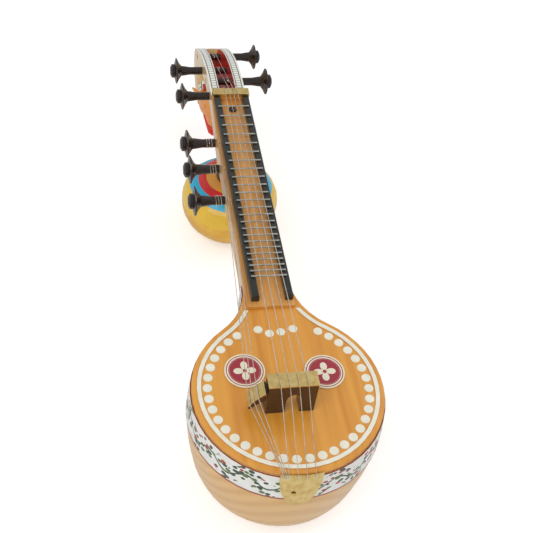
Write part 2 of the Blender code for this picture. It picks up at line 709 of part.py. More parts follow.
def make_head():
    """A dragon's head that looks back towards the gourd."""
    y, z, _ = spine(SPINE_LENGTH)
    root = Vector((0, along(y) - GAP, above(z)))
    back = Vector((0, -1, 0))
    up = Vector((0, 0, 1))

    def shape(stations, lift=0.0):
        rings = []
        for run, width, height, rise in stations:
            centre = root + back * (run * HEAD_LENGTH) + up * (rise * HEAD_HALF_HEIGHT + lift)
            rings.append(ellipse_ring(centre, Vector((width * HEAD_HALF_WIDTH, 0, 0)),
                                      up * (height * HEAD_HALF_HEIGHT)))
        return loft(rings)

    skull = shape(((0.0, 0.85, 0.75, 0.0), (0.12, 0.95, 0.9, 0.05), (0.28, 1.0, 1.0, 0.1),
                   (0.45, 0.92, 0.85, 0.2), (0.6, 0.72, 0.55, 0.3), (0.75, 0.66, 0.42, 0.25),
                   (0.9, 0.62, 0.42, 0.3), (1.0, 0.4, 0.25, 0.35)))
    head = add_object("yali_head", skull, "dragon_paint")

    jaw = shape(((0.2, 0.7, 0.4, -0.5), (0.4, 0.66, 0.35, -0.72), (0.6, 0.55, 0.25, -0.95),
                 (0.8, 0.45, 0.22, -1.1), (0.88, 0.25, 0.14, -1.08)))
    combine(head, add_cutter("yali_jaw", jaw), "UNION")
    tongue = shape(((0.3, 0.4, 0.2, -0.3), (0.6, 0.36, 0.14, -0.5), (0.86, 0.3, 0.1, -0.62)))
    combine(head, add_cutter("yali_tongue", tongue), "UNION")

    for name, side in (("left", -1), ("right", 1)):
        horn = lathe([(0, -0.003), (0.0026, -0.003), (0.002, 0.006), (0.0009, 0.011), (0, 0.012)], 8)
        turn(horn, (0, 0, 1), (side * 0.75, 0.75, 0.45))
        place = root + back * (0.22 * HEAD_LENGTH) + Vector((side * 0.8 * HEAD_HALF_WIDTH, 0,
                                                             0.7 * HEAD_HALF_HEIGHT))
        combine(head, add_cutter(f"yali_horn_{name}", horn, place), "UNION")
        eye = lathe([(0, -0.002), (0.0014, -0.0014), (0.002, 0), (0.0014, 0.0014), (0, 0.002)], 8)
        place = root + back * (0.5 * HEAD_LENGTH) + Vector((side * 0.72 * HEAD_HALF_WIDTH, 0,
                                                            0.62 * HEAD_HALF_HEIGHT))
        combine(head, add_cutter(f"yali_eye_{name}", eye, place), "UNION")
    return head


def make_screw():
    top = BOARD_TOP + GAP
    profile = [(0, -SCREW_LENGTH), (SCREW_RADIUS, -SCREW_LENGTH), (SCREW_RADIUS, 0),
               (SCREW_HEAD_RADIUS, 0), (SCREW_HEAD_RADIUS * 0.9, SCREW_HEAD_HEIGHT * 0.6),
               (SCREW_HEAD_RADIUS * 0.5, SCREW_HEAD_HEIGHT), (0, SCREW_HEAD_HEIGHT)]
    place = (0, along(NUT_POSITION - SCREW_POSITION), above(top))
    return add_object("neck_screw", lathe(profile, 12), "screw_steel", place)


# Pegs
def main_peg_axis(number):
    up = NECK_DEPTH / 2 - MAIN_PEG_DEPTHS[number]
    return on_spine(MAIN_PEG_ALONG[number], 0.0, up)


def peg_profile(inner):
    """From the tip of the shaft out to the button; zero is the wall's face."""
    stem = PEG_STEM_LENGTH
    flange = PEG_FLANGE_RADIUS
    return [(0, -inner), (PEG_RADIUS * 0.85, -inner), (PEG_RADIUS, -inner + 0.0008),
            (PEG_RADIUS, GAP), (PEG_STEM_RADIUS, GAP), (PEG_STEM_RADIUS, stem * 0.55),
            (PEG_STEM_RADIUS * 1.22, stem * 0.8), (PEG_STEM_RADIUS * 1.3, stem * 0.93),
            (flange * 0.62, stem + 0.0006), (flange, stem + 0.0026), (flange * 0.98, stem + 0.0034),
            (flange * 0.6, stem + 0.0044), (PEG_BUTTON_RADIUS, stem + 0.0046),
            (PEG_BUTTON_RADIUS, stem + 0.0046 + PEG_BUTTON_LENGTH * 0.45),
            (PEG_BUTTON_RADIUS * 0.6, stem + 0.0042 + PEG_BUTTON_LENGTH * 0.8),
            (0, stem + 0.0042 + PEG_BUTTON_LENGTH * 0.85)]


def add_peg(name, axis, side, wall, inner):
    """The pivot stands on the turning axis, where the peg meets the wall."""
    pivot = add_pivot(name + "_axis", (side * wall, axis[1], axis[2]))
    bm = turn(lathe(peg_profile(inner), 16), (0, 0, 1), (side, 0, 0))
    return add_object(name, bm, "peg_wood", parent=pivot)


def make_pegs():
    for i, (distance, side) in enumerate(zip(MAIN_PEG_ALONG, MAIN_PEG_SIDES)):
        inner = 2 * PEGBOX_HALF_WIDTH - 0.0005
        add_peg(f"peg_main_{i + 1}", main_peg_axis(i), side, PEGBOX_HALF_WIDTH, inner)
    for i, distance in enumerate(TALA_PEG_POSITIONS):
        axis = (0, along(distance), above(-TALA_PEG_DEPTH))
        wall = neck_left_at(distance)
        inner = TALA_PEG_REACH - (NECK_LEFT - wall)
        add_peg(f"peg_tala_{i + 1}", axis, -1, wall, inner)


# Gourd and the cup that carries it
def gourd_outside(height):
    """Radius of the gourd at a height above the table."""
    if height >= GOURD_WIDEST:
        share = (height - GOURD_WIDEST) / GOURD_CROWN
        return GOURD_RADIUS * superellipse(share, 2.5, 2.5)
    share = (GOURD_WIDEST - height) / GOURD_WIDEST
    return GOURD_RADIUS * superellipse(share, 2.2, 2.2)


def gourd_top():
    share = superellipse(GOURD_SEAT_RADIUS / GOURD_RADIUS, 2.5, 2.5)
    return GOURD_WIDEST + GOURD_CROWN * share


def make_gourd():
    top = gourd_top()
    outer = [(0, 0), (GOURD_FOOT_RADIUS, 0)]
    for i in range(1, 7):
        height = GOURD_WIDEST * (1.0 - math.cos(math.pi / 2 * i / 6))
        if gourd_outside(height) > GOURD_FOOT_RADIUS + 0.001:
            outer.append((gourd_outside(height), height))
    for i in range(1, 6):
        height = GOURD_WIDEST + (top - GOURD_WIDEST) * math.sin(math.pi / 2 * i / 5.5)
        outer.append((gourd_outside(height), height))
    outer += [(GOURD_SEAT_RADIUS, top), (GOURD_MOUTH_RADIUS, top)]
    inner = []
    for i in range(6):
        height = top - GOURD_WALL - (top - 2 * GOURD_WALL) * (1.0 - math.cos(math.pi * i / 5)) / 2
        radius = max(GOURD_MOUTH_RADIUS, gourd_outside(height) - GOURD_WALL * 1.15)
        inner.append((radius if i else GOURD_MOUTH_RADIUS, height))
    inner[-1] = (GOURD_MOUTH_RADIUS, GOURD_WALL)
    profile = outer + inner + [(0, GOURD_WALL)]
    return add_object("gourd", lathe(profile, 28), "gourd_paint", (0, along(GOURD_POSITION), 0))


def make_gourd_cup():
    low = gourd_top() + GAP
    high = above(-NECK_DEPTH) - GAP
    tall = high - low
    plug = GOURD_MOUTH_RADIUS - PIN_CLEARANCE
    profile = [(0, low - CUP_PLUG_LENGTH), (plug, low - CUP_PLUG_LENGTH), (plug, low),
               (GOURD_SEAT_RADIUS, low), (GOURD_SEAT_RADIUS, low + tall * 0.12),
               (CUP_WAIST_RADIUS * 1.25, low + tall * 0.25), (CUP_WAIST_RADIUS, low + tall * 0.5),
               (CUP_WAIST_RADIUS * 1.25, low + tall * 0.72), (CUP_TOP_RADIUS, low + tall * 0.86),
               (CUP_TOP_RADIUS, high), (CUP_STUD_RADIUS, high), (CUP_STUD_RADIUS, high + CUP_STUD_LENGTH),
               (0, high + CUP_STUD_LENGTH)]
    return add_object("gourd_cup", lathe(profile, 24), "dark_wood", (0, along(GOURD_POSITION), 0))


# Bridge, side arm and tailpiece
def upright(points, y_low, y_high):
    """An outline in X and Z, carried along Y."""
    bm = prism(points, -y_high, -y_low)
    bmesh.ops.rotate(bm, verts=bm.verts, cent=(0, 0, 0), matrix=Matrix.Rotation(math.pi / 2, 3, "X"))
    return bm


def bridge_span():
    middle = along(BRIDGE_POSITION)
    return middle - BRIDGE_DEPTH / 2, middle + BRIDGE_DEPTH / 2


def slab_top():
    return BRIDGE_HEIGHT - BRIDGE_PLATE_THICKNESS - GAP


def make_bridge():
    top = slab_top()
    slab = top - BRIDGE_SLAB
    middle = (BRIDGE_ARCH_LEFT + BRIDGE_ARCH_RIGHT) / 2
    half = (BRIDGE_ARCH_RIGHT - BRIDGE_ARCH_LEFT) / 2
    points = [(BRIDGE_LEFT, GAP), (BRIDGE_ARCH_LEFT, GAP)]
    for i in range(7):
        angle = math.pi * (1.0 - i / 6)
        points.append((middle + half * math.cos(angle), slab - 0.006 + 0.006 * math.sin(angle)))
    points += [(BRIDGE_ARCH_RIGHT, GAP), (BRIDGE_RIGHT, GAP), (BRIDGE_RIGHT, top), (BRIDGE_LEFT, top)]
    bm = upright([(x, above(z)) for x, z in points], *bridge_span())
    return add_object("bridge", bm, "dark_wood")


def make_bridge_plate():
    low, high = bridge_span()
    over = BRIDGE_PLATE_OVERHANG
    top = above(BRIDGE_HEIGHT)
    bm = box((BRIDGE_LEFT - over, BRIDGE_RIGHT + over), (low - over, high + over),
             (top - BRIDGE_PLATE_THICKNESS, top))
    return add_object("bridge_plate", bm, "brass", smooth=None)


def arm_point(share, lift=0.0):
    """A place on top of the side arm: 0 at the bridge, 1 at its tip."""
    start = Vector((BRIDGE_LEFT - GAP, ARM_TOP))
    tip = Vector((BRIDGE_LEFT - GAP - ARM_REACH, ARM_TIP))
    run = tip - start
    square = Vector((run.y, -run.x)).normalized()
    crown = ARM_CROWN * 4.0 * share * (1.0 - share)
    return start + run * share + square * (crown + lift)


def make_tala_bridge():
    steps = 6
    top = [arm_point(i / steps) for i in range(steps + 1)]
    tip = arm_point(1.0, -ARM_TIP_THICKNESS)
    base = arm_point(0.0)
    points = top[::-1] + [Vector((base.x, base.y - ARM_THICKNESS)),
                          Vector((base.x - ARM_REACH * 0.35, base.y - ARM_THICKNESS * 1.12)),
                          Vector((base.x - ARM_REACH * 0.7, tip.y + ARM_THICKNESS * 0.35)), tip]
    bm = upright([(p.x, above(p.y)) for p in points], *bridge_span())
    return add_object("tala_bridge", bm, "dark_wood")


def make_tala_plate():
    steps = 6
    low = [arm_point(0.03 + 0.97 * i / steps, GAP) for i in range(steps + 1)]
    high = [arm_point(0.03 + 0.97 * i / steps, GAP + ARM_PLATE_THICKNESS) for i in range(steps + 1)]
    points = high[::-1] + low
    bm = upright([(p.x, above(p.y)) for p in points], *bridge_span())
    return add_object("tala_plate", bm, "brass")


def tail_surface(depth):
    """How far out the tailpiece's inner face stands at a depth below the board."""
    rim = SOUNDBOARD_THICKNESS + GAP
    return belly(max(0.0, depth - rim)) + BAND_OUT + GAP


def make_tailpiece():
    """A leaf-shaped plate that hangs over the tail and follows the bowl."""
    middle = (TAILPIECE_LEFT + TAILPIECE_RIGHT) / 2
    half = (TAILPIECE_RIGHT - TAILPIECE_LEFT) / 2
    rows = 8
    columns = 6
    rings = []
    for row in range(rows + 1):
        share = row / rows
        depth = -TAILPIECE_RISE + (TAILPIECE_LENGTH + TAILPIECE_RISE) * share
        width = half * max(0.12, math.sqrt(max(0.0, 1.0 - share ** 2.1)))
        ring = []
        for out, order in ((0.0, range(columns + 1)), (TAILPIECE_THICKNESS, range(columns, -1, -1))):
            for column in order:
                x = middle + width * (2.0 * column / columns - 1.0)
                radius = tail_surface(depth) + out
                ring.append((x, along(-math.sqrt(radius ** 2 - x ** 2)), above(-depth)))
        rings.append(ring)
    plate = add_object("tailpiece", loft(rings), "brass")
    combine(plate, nail_hole("tailpiece_hole", 0.02), "DIFFERENCE")
    return plate


def nail_surface():
    radius = tail_surface(NAIL_DEPTH) + TAILPIECE_THICKNESS
    return -math.sqrt(radius ** 2 - NAIL_X ** 2)


def nail_hole(name, length):
    hole = turn(rod(NAIL_RADIUS + PIN_CLEARANCE, length, 8), (0, 0, 1), (0, 1, 0))
    start = nail_surface() - length / 2
    return add_cutter(name, hole, (NAIL_X, along(start), above(-NAIL_DEPTH)))


def make_nail(bowl, band):
    face = nail_surface() - NAIL_SEAT
    profile = [(0, -NAIL_HEAD_HEIGHT), (NAIL_HEAD_RADIUS * 0.7, -NAIL_HEAD_HEIGHT * 0.78), (NAIL_HEAD_RADIUS, 0),
               (NAIL_RADIUS, 0), (NAIL_RADIUS, NAIL_LENGTH), (0, NAIL_LENGTH)]
    bm = turn(lathe(profile, 10), (0, 0, 1), (0, 1, 0))
    add_object("tail_nail", bm, "brass", (NAIL_X, along(face), above(-NAIL_DEPTH)))
    hole = nail_hole("nail_hole", 2 * (NAIL_LENGTH + 0.0004))
    combine(bowl, hole, "DIFFERENCE")
    combine(band, hole, "DIFFERENCE")


# Strings: each is one wire from the tailpiece to the turns round its peg
def touching_angle(centre, radius, target):
    """Where a line from the target passes over the top of a peg's turns."""
    run_y, run_z = target[0] - centre[0], target[1] - centre[1]
    distance = math.hypot(run_y, run_z)
    return math.atan2(run_z, run_y) - math.acos(radius / distance)


def winding(centre, radius, start_x, pitch, turns, start_angle):
    """Turns round a peg, from the string's first touch to its end."""
    points = []
    for i in range(turns * TURN_POINTS + 1):
        share = i / TURN_POINTS
        angle = start_angle - math.tau * share
        points.append(Vector((start_x + pitch * share, centre[0] + radius * math.cos(angle),
                              centre[1] + radius * math.sin(angle))))
    points.append(points[-1] + (points[-1] - points[-2]).normalized() * STRING_DIAMETER)
    return points


def add_string(name, points):
    curve = bpy.data.curves.new(name, "CURVE")
    curve.dimensions = "3D"
    curve.bevel_depth = STRING_RADIUS
    curve.bevel_resolution = 1
    curve.use_fill_caps = True
    line = curve.splines.new("POLY")
    line.points.add(len(points) - 1)
    for point, place in zip(line.points, points):
        point.co = (*place, 1.0)
    curve.materials.append(make_material("string_steel"))
    obj = bpy.data.objects.new(name, curve)
    bpy.context.collection.objects.link(obj)
    return obj


def tail_points(x):
    """Up the outer face of the tailpiece and over its top edge."""
    outer = math.sqrt((tail_surface(-TAILPIECE_RISE) + TAILPIECE_THICKNESS) ** 2 - x ** 2)
    out = outer + STRING_CLEAR + 0.0001
    rise = TAILPIECE_RISE + STRING_CLEAR + 0.0001
    return [Vector((x, along(-out - 0.0001), above(-STRING_END))),
            Vector((x, along(-out), above(TAILPIECE_RISE))),
            Vector((x, along(-out + STRING_CLEAR * 0.45), above(rise - STRING_CLEAR * 0.15))),
            Vector((x, along(-outer + 0.0009), above(rise + 0.0004)))]


def least_gap(points, skip):
    """Least distance between the wire's surfaces, away from each point itself."""
    least = math.inf
    for i, first in enumerate(points):
        for second in points[i + skip:]:
            least = min(least, (first - second).length - STRING_DIAMETER)
    return least


def make_main_strings():
    front, rear = bridge_span()
    over = BRIDGE_PLATE_OVERHANG
    bridge_z = above(BRIDGE_HEIGHT + STRING_CLEAR + 0.0001)
    nut_z = above(NUT_TOP + STRING_CLEAR + 0.0001)
    nut_front = along(NUT_POSITION - NUT_LENGTH / 2)
    nut_rear = along(NUT_POSITION + NUT_LENGTH / 2)
    order = (0, 3, 1, 2)        # outer strings go to the near pegs
    for i, distance in enumerate(MAIN_PEG_ALONG):
        place = order[i] - (MAIN_STRING_COUNT - 1) / 2
        tail_x = TAIL_STRING_MIDDLE + place * TAIL_STRING_SPACING
        bridge_x = BRIDGE_STRING_MIDDLE + place * BRIDGE_STRING_SPACING
        nut_x = place * NUT_STRING_SPACING
        _, peg_y, peg_z = main_peg_axis(i)
        radius = PEG_RADIUS + STRING_CLEAR
        start = (nut_rear, nut_z)
        angle = touching_angle((peg_y, peg_z), radius, start)
        step = MAIN_PITCH if nut_x < 0 else -MAIN_PITCH
        points = tail_points(tail_x)
        points += [Vector((bridge_x, front - over, bridge_z)), Vector((bridge_x, rear + over, bridge_z)),
                   Vector((nut_x, nut_front, nut_z)), Vector((nut_x, nut_rear, nut_z))]
        turns = winding((peg_y, peg_z), radius, nut_x, step, MAIN_TURNS, angle)
        add_string(f"string_main_{i + 1}", points + turns)
        print(f"string_main_{i + 1}: least gap {1000 * least_gap(turns, TURN_POINTS // 2):.2f} mm")


def make_tala_strings():
    front, rear = bridge_span()
    for i, distance in enumerate(TALA_PEG_POSITIONS):
        lift = GAP + ARM_PLATE_THICKNESS + STRING_CLEAR + 0.0001
        rest = arm_point(TALA_ARM_SHARE[i], lift)
        peg_y, peg_z = along(distance), above(-TALA_PEG_DEPTH)
        radius = PEG_STEM_RADIUS + STRING_CLEAR
        pin_y = distance - TALA_PIN_AHEAD
        pin_x = TALA_PIN_INSET - neck_left_at(pin_y) + TALA_PIN_RADIUS + STRING_CLEAR
        over_board = above(BOARD_TOP + STRING_CLEAR + 0.0004)
        edge_y = distance - TALA_PIN_AHEAD * 0.62
        wall = neck_left_at(edge_y)
        corner = Vector((-wall - STRING_CLEAR - 0.0001, along(edge_y), above(BOARD_TOP)))
        lip = Vector((-wall - STRING_CLEAR * 0.4, along(edge_y - 0.0012), over_board))
        angle = touching_angle((peg_y, peg_z), radius, (corner.y, corner.z))
        start_x = -neck_left_at(distance) - STRING_CLEAR - 0.0009
        turns = winding((peg_y, peg_z), radius, start_x, -TALA_PITCH, TALA_TURNS, angle)
        points = tail_points(TALA_TAIL_X[i])
        points += [Vector((rest.x, front, above(rest.y))), Vector((rest.x, rear, above(rest.y))),
                   Vector((pin_x, along(pin_y), over_board + 0.0002)), lip, corner]
        add_string(f"string_tala_{i + 1}", points + turns)
        print(f"string_tala_{i + 1}: least gap {1000 * least_gap(turns, TURN_POINTS // 2):.2f} mm")


def main():
    clear_scene()
    bowl = make_bowl()
    make_soundboard()
    make_edge_inlay()
    make_rosettes()
    band = make_side_band()
    make_neck()
    make_fretboard()
    make_rails()
    make_frets()
    make_nut()
    make_pegbox()
    make_head()
    make_screw()
    make_pegs()
    make_gourd()
    make_gourd_cup()
    make_bridge()
    make_bridge_plate()
    make_tala_bridge()
    make_tala_plate()
    make_tailpiece()
    make_nail(bowl, band)
    make_main_strings()
    make_tala_strings()


main()
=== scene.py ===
"""Looks of the showpiece veena: finishes, painted patterns and inlaid dots."""
import json
import math

import bmesh
import bpy
from mathutils import Matrix, Vector


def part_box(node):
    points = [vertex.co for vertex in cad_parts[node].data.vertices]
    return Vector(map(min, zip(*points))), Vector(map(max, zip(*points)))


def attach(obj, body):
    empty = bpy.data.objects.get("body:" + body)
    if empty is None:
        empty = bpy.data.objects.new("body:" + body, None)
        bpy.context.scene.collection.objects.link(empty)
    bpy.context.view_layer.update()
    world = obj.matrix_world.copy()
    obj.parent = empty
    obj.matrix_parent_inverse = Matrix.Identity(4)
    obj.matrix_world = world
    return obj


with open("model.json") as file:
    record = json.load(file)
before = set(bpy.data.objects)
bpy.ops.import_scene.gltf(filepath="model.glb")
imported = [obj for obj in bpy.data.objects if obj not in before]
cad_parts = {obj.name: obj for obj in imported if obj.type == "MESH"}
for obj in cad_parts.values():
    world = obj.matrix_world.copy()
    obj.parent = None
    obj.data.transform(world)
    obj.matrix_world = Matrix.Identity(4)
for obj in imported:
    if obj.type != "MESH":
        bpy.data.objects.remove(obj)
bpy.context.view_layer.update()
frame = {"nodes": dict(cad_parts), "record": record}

MOUNTS = {mount["name"]: mount["pos_m"] for mount in frame["record"]["mounts"]}
BOWL_Y = MOUNTS["bowl_foot"][1]
GOURD_Y = MOUNTS["gourd_foot"][1]
BOARD_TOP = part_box("soundboard")[1][2]

# The photograph's viewpoint, from the bowl's centre and the soundboard's top
CAMERA_PLACE = (-0.1154, -0.3219, 0.4695)
CAMERA_AZIMUTH = math.radians(15.6)
CAMERA_DOWN = math.radians(47.16)
CAMERA_ROLL = math.radians(9.1)
CAMERA_LENS = 65.5
CAMERA_SENSOR = 36.0

# Inlaid dots of the soundboard
DOT_RADIUS = 0.0029
DOT_HEIGHT = 0.0003
DOT_CIRCLE = 0.0485
DOT_SPACING = 0.0076
DOT_COUNT = 34
DOT_SIDES = 24
DOT_CHAMFER = 0.94              # top radius of a dot to its foot
GARLAND = ((-0.0119, 0.0451), (-0.0052, 0.0416), (0.0021, 0.0423), (0.0102, 0.0443))

# Vine on the bowl's white band
BAND_MIDDLE = 0.0135            # below the soundboard's top
BAND_BORDER = 0.0098            # from the middle to the border lines
VINE_WAVES = 14.0
VINE_SWAY = 0.0035
VINE_STEM = 0.0007
VINE_REACH = 0.0075             # how far from the stem leaves grow
LEAF_CELLS = (230, 230, 330)
LEAF_SIZE = 0.44

# Rosettes
ROSETTE_RADIUS = 0.0125
ROSETTE_GROUND = 0.0092
PETAL_LENGTH = 0.0058
PETAL_HEART = 0.0018
PETAL_EDGE = 0.9

# Gourd and pegbox paint
GOURD_RADIUS = 0.04
GOURD_RINGS_FROM = 0.033        # height above the table
CHEEK_HALF_WIDTH = 0.014
TROUGH_HALF_WIDTH = 0.0066
TROUGH_END = 0.206
TICK_SPACING = 0.0034
TICK_SHARE = 0.16
TICK_INNER = 0.0078
TICK_OUTER = 0.0118
DRAGON_LOW = 0.016
DRAGON_HEIGHT = 0.026
DRAGON_SCALES = 420.0

# Colours
BLACK = (0, 0, 0)
WHITE = (1, 1, 1)
IVORY = (0.95, 0.93, 0.80)
CHEEK_WHITE = (0.93, 0.92, 0.84)
VINE_GREEN = (0.03, 0.07, 0.02)
LINE_GREEN = (0.02, 0.07, 0.03)
BORDER_RED = (0.35, 0.05, 0.03)
ROSETTE_RED = (0.38, 0.02, 0.04)
TROUGH_RED = (0.62, 0.04, 0.03)


def make_camera():
    data = bpy.data.cameras.new("photo_camera")
    data.lens = CAMERA_LENS
    data.sensor_width = CAMERA_SENSOR
    camera = bpy.data.objects.new("photo_camera", data)
    bpy.context.scene.collection.objects.link(camera)
    down, side = CAMERA_DOWN, CAMERA_AZIMUTH
    forward = Vector((math.cos(down) * math.sin(side), math.cos(down) * math.cos(side), -math.sin(down)))
    level = Vector((math.cos(side), -math.sin(side), 0.0))
    upward = level.cross(forward)
    right = level * math.cos(CAMERA_ROLL) + upward * math.sin(CAMERA_ROLL)
    up = upward * math.cos(CAMERA_ROLL) - level * math.sin(CAMERA_ROLL)
    turn = Matrix((right, up, -forward)).transposed().to_4x4()
    place = Vector(CAMERA_PLACE) + Vector((0, BOWL_Y, BOARD_TOP))
    camera.matrix_world = Matrix.Translation(place) @ turn
    bpy.context.scene.camera = camera


class Finish:
    """A procedural material that is built up from nodes."""

    def __init__(self, name, roughness=0.4, metallic=0.0, coat=0.0):
        self.material = bpy.data.materials.new(name)
        self.material.use_nodes = True
        self.nodes = self.material.node_tree.nodes
        self.shader = self.nodes["Principled BSDF"]
        self.shader.inputs["Roughness"].default_value = roughness
        self.shader.inputs["Metallic"].default_value = metallic
        self.shader.inputs["Coat Weight"].default_value = coat
        self.place = self.nodes.new("ShaderNodeTexCoord").outputs["Object"]

    def link(self, start, end):
        self.material.node_tree.links.new(start, end)

    def mapped(self, centre=(0, 0, 0), scale=(1, 1, 1)):
        node = self.nodes.new("ShaderNodeMapping")
        node.inputs["Scale"].default_value = scale
        node.inputs["Location"].default_value = [-c * s for c, s in zip(centre, scale)]
        self.link(self.place, node.inputs["Vector"])
        return node.outputs["Vector"]

    def math(self, operation, first, second=0.0):
        node = self.nodes.new("ShaderNodeMath")
        node.operation = operation
        for socket, value in zip(node.inputs, (first, second)):
            if isinstance(value, (int, float)):
                socket.default_value = value
            else:
                self.link(value, socket)
        return node.outputs[0]

    def axes(self, vector):
        node = self.nodes.new("ShaderNodeSeparateXYZ")
        self.link(vector, node.inputs[0])
        return node.outputs

    def reach(self, x, y):
        """Distance from an upright axis."""
        squares = [self.math("MULTIPLY", side, side) for side in (x, y)]
        return self.math("SQRT", self.math("ADD", *squares))

    def noise(self, vector, detail=4.0):
        node = self.nodes.new("ShaderNodeTexNoise")
        node.inputs["Scale"].default_value = 1.0
        node.inputs["Detail"].default_value = detail
        self.link(vector, node.inputs["Vector"])
        return node.outputs["Fac"]

    def cells(self, vector, scale=1.0):
        node = self.nodes.new("ShaderNodeTexVoronoi")
        node.inputs["Scale"].default_value = scale
        self.link(vector, node.inputs["Vector"])
        return node.outputs

    def ramp(self, value, stops, sharp=False):
        node = self.nodes.new("ShaderNodeValToRGB")
        node.color_ramp.interpolation = "CONSTANT" if sharp else "LINEAR"
        elements = node.color_ramp.elements
        while len(elements) < len(stops):
            elements.new(0.5)
        for element, (at, colour) in zip(elements, stops):
            element.position = at
            element.color = (*colour, 1.0)
        self.link(value, node.inputs["Fac"])
        return node.outputs["Color"]

    def mix(self, share, first, second):
        node = self.nodes.new("ShaderNodeMix")
        node.data_type = "RGBA"
        share_socket, first_socket, second_socket = node.inputs[0], node.inputs[6], node.inputs[7]
        self.link(share, share_socket)
        for socket, value in ((first_socket, first), (second_socket, second)):
            if isinstance(value, tuple):
                socket.default_value = (*value, 1.0)
            else:
                self.link(value, socket)
        return node.outputs[2]

    def colour(self, value):
        self.link(value, self.shader.inputs["Base Color"])

    def plain(self):
        """The colour that the finish has so far."""
        return self.shader.inputs["Base Color"].links[0].from_socket

    def bump(self, height, strength, distance=0.0003):
        node = self.nodes.new("ShaderNodeBump")
        node.inputs["Strength"].default_value = strength
        node.inputs["Distance"].default_value = distance
        self.link(height, node.inputs["Height"])
        self.link(node.outputs["Normal"], self.shader.inputs["Normal"])


# Plain finishes
def wood(name, light, dark, scale=(260, 14, 260), roughness=0.3, coat=0.4):
    finish = Finish(name, roughness, 0.0, coat)
    grain = finish.noise(finish.mapped(scale=scale), 6.0)
    finish.colour(finish.ramp(grain, ((0.3, dark), (0.62, light))))
    finish.bump(grain, 0.12)
    return finish


def turned_wood(name, light, dark):
    """Lathe-turned wood with broad growth rings round the bowl."""
    finish = Finish(name, 0.32, 0.0, 0.4)
    wave = finish.nodes.new("ShaderNodeTexWave")
    wave.wave_type = "RINGS"
    wave.rings_direction = "X"
    wave.inputs["Scale"].default_value = 1.0
    wave.inputs["Distortion"].default_value = 2.2
    wave.inputs["Detail"].default_value = 3.0
    finish.link(finish.mapped((0, BOWL_Y, BOARD_TOP), (9, 38, 38)), wave.inputs["Vector"])
    finish.colour(finish.ramp(wave.outputs["Fac"], ((0.1, dark), (0.8, light))))
    finish.bump(finish.noise(finish.mapped(scale=(120, 900, 900))), 0.08)
    return finish


def metal(name, colour, worn, roughness=0.28):
    finish = Finish(name, roughness, 1.0)
    spots = finish.noise(finish.mapped(scale=(240, 240, 240)))
    finish.colour(finish.ramp(spots, ((0.35, worn), (0.6, colour))))
    finish.bump(finish.noise(finish.mapped(scale=(2600, 300, 2600))), 0.06)
    return finish


def enamel(name, light, dark, roughness=0.3, scale=160):
    finish = Finish(name, roughness, 0.0, 0.3)
    patches = finish.noise(finish.mapped(scale=(scale, scale, scale)))
    finish.colour(finish.ramp(patches, ((0.35, dark), (0.65, light))))
    finish.bump(patches, 0.1)
    return finish


# Painted and printed finishes
def band_pattern():
    """White band with a vine, leaves and blossoms between two border lines."""
    finish = enamel("vine_band", (0.93, 0.93, 0.90), (0.84, 0.84, 0.80), 0.4)
    white = finish.plain()
    x, y, z = finish.axes(finish.mapped((0, BOWL_Y, BOARD_TOP - BAND_MIDDLE)))
    round_way = finish.math("MULTIPLY", finish.math("ARCTAN2", x, y), VINE_WAVES)
    sway = finish.math("MULTIPLY", finish.math("SINE", round_way), VINE_SWAY)
    off_vine = finish.math("ABSOLUTE", finish.math("SUBTRACT", z, sway))
    stem = finish.math("LESS_THAN", off_vine, VINE_STEM)
    near = finish.math("LESS_THAN", off_vine, VINE_REACH)
    border = finish.math("GREATER_THAN", finish.math("ABSOLUTE", z), BAND_BORDER)
    cells = finish.cells(finish.mapped(scale=LEAF_CELLS))
    leaf = finish.math("MULTIPLY", finish.math("LESS_THAN", cells["Distance"], LEAF_SIZE), near)
    kinds = finish.axes(cells["Color"])[0]
    leaves = finish.ramp(kinds, ((0.0, (0.02, 0.06, 0.02)), (0.5, (0.12, 0.17, 0.03)),
                                 (0.82, (0.55, 0.05, 0.05))), True)
    colour = finish.mix(stem, white, VINE_GREEN)
    colour = finish.mix(leaf, colour, leaves)
    finish.colour(finish.mix(border, colour, BORDER_RED))
    return finish


def rosette_pattern(name, centre):
    """Two rings round a four-petalled flower."""
    finish = enamel(name, (0.93, 0.88, 0.70), (0.85, 0.78, 0.58), 0.35)
    ivory = finish.plain()
    x, y, _ = finish.axes(finish.mapped(centre))
    reach = finish.reach(x, y)
    angle = finish.math("ARCTAN2", y, x)
    petals = finish.math("ABSOLUTE", finish.math("COSINE", finish.math("MULTIPLY", angle, 2.0)))
    edge = finish.math("ADD", finish.math("MULTIPLY", petals, PETAL_LENGTH), PETAL_HEART)
    outside = finish.math("GREATER_THAN", finish.math("DIVIDE", reach, edge), PETAL_EDGE)
    ground = finish.math("MULTIPLY", outside, finish.math("LESS_THAN", reach, ROSETTE_GROUND))
    rings = finish.ramp(finish.math("DIVIDE", reach, ROSETTE_RADIUS),
                        ((0.0, WHITE), (0.10, BLACK), (0.74, WHITE), (0.79, BLACK),
                         (0.86, WHITE), (0.91, BLACK)), True)
    colour = finish.mix(ground, ivory, ROSETTE_RED)
    finish.colour(finish.mix(finish.axes(rings)[0], colour, ROSETTE_RED))
    return finish


def gourd_pattern():
    """Rings of enamel round the gourd's upright axis."""
    finish = enamel("gourd_enamel", (0.93, 0.58, 0.05), (0.82, 0.42, 0.04), 0.3, 70)
    yellow = finish.plain()
    x, y, z = finish.axes(finish.mapped((0, GOURD_Y, 0)))
    rings = finish.ramp(finish.math("DIVIDE", finish.reach(x, y), GOURD_RADIUS),
                        ((0.0, (0.90, 0.40, 0.04)), (0.50, (0.75, 0.02, 0.02)), (0.65, (0.02, 0.48, 0.78)),
                         (0.81, (0.93, 0.60, 0.05))), True)
    upper = finish.math("GREATER_THAN", z, GOURD_RINGS_FROM)
    finish.colour(finish.mix(upper, yellow, rings))
    return finish


